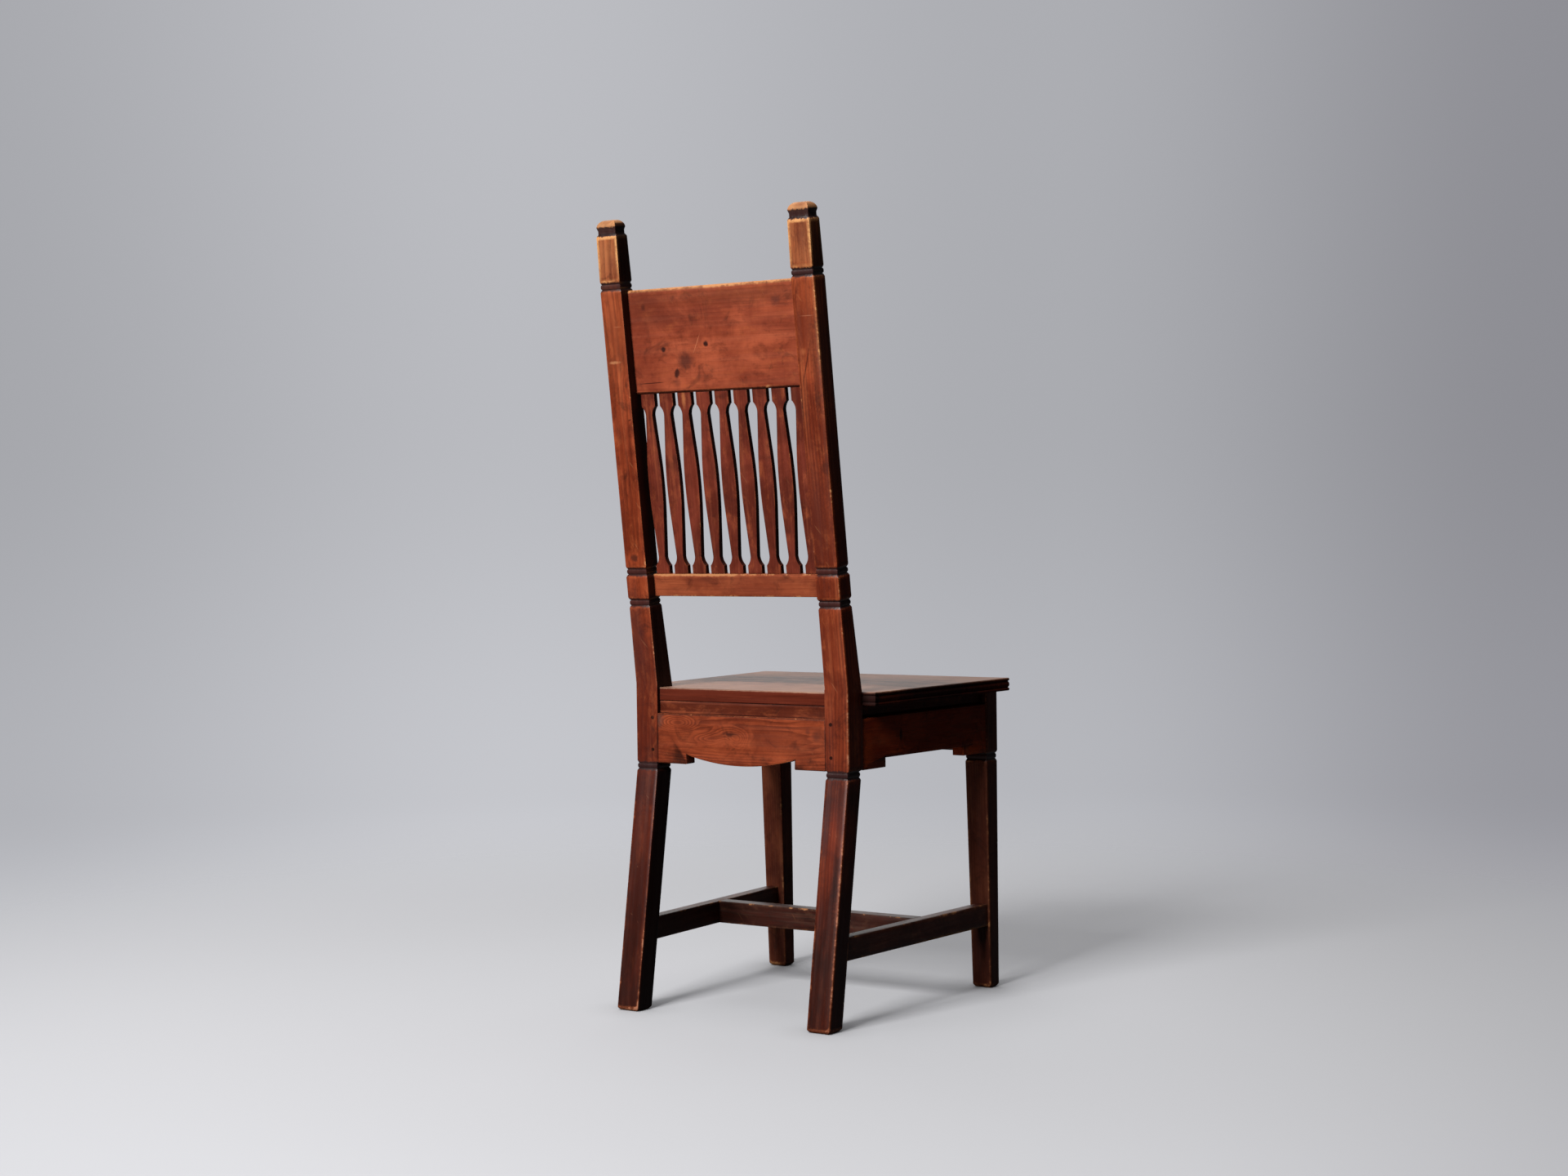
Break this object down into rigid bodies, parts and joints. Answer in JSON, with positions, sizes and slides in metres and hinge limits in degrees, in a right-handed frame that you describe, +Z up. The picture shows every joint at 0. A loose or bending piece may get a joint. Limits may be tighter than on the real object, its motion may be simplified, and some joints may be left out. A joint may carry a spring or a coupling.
{
  "type": "high-back side chair",
  "caption": "High-back wooden side chair with a plain crest panel over fretted slats, square posts with bead mouldings and finials, a plank seat and H-shaped stretchers.",
  "frame": {"origin": "on the floor, under the centre of the chair's bounding box", "axes": "+Z up, -Y to the chair's front, +X to the sitter's left"},
  "size_m": [0.43, 0.4524, 1.1016],
  "materials": {
    "post_pine": "satin red-brown stain, worn pale along the arrises",
    "leg_pine": "satin dark red-brown stain",
    "seat_pine": "worn satin stain, greyed on top",
    "back_pine": "satin red-brown stain",
    "rail_pine": "satin red-brown stain",
    "batten_pine": "dull red-brown stain",
    "stretcher_pine": "satin red-brown stain, worn along the edges",
    "peg_wood": "dull dark stain"
  },
  "bodies": {
    "root": {"rear_post_left": "post_pine", "rear_post_right": "post_pine", "front_leg_left": "leg_pine", "front_leg_right": "leg_pine", "crest_panel": "back_pine", "lower_back_rail": "back_pine", "slat_1": "back_pine", "slat_2": "back_pine", "slat_3": "back_pine", "slat_4": "back_pine", "slat_5": "back_pine", "slat_6": "back_pine", "slat_7": "back_pine", "slat_8": "back_pine", "slat_9": "back_pine", "rear_seat_rail": "rail_pine", "front_seat_rail": "rail_pine", "side_seat_rail_left": "rail_pine", "side_seat_rail_right": "rail_pine", "seat_board_front": "seat_pine", "seat_board_middle": "seat_pine", "seat_board_rear": "seat_pine", "seat_batten_rear": "batten_pine", "seat_batten_front": "batten_pine", "seat_batten_left": "batten_pine", "seat_batten_right": "batten_pine", "side_stretcher_left": "stretcher_pine", "side_stretcher_right": "stretcher_pine", "cross_stretcher": "stretcher_pine", "rear_rail_pegs": "peg_wood"}
  },
  "joints": []
}
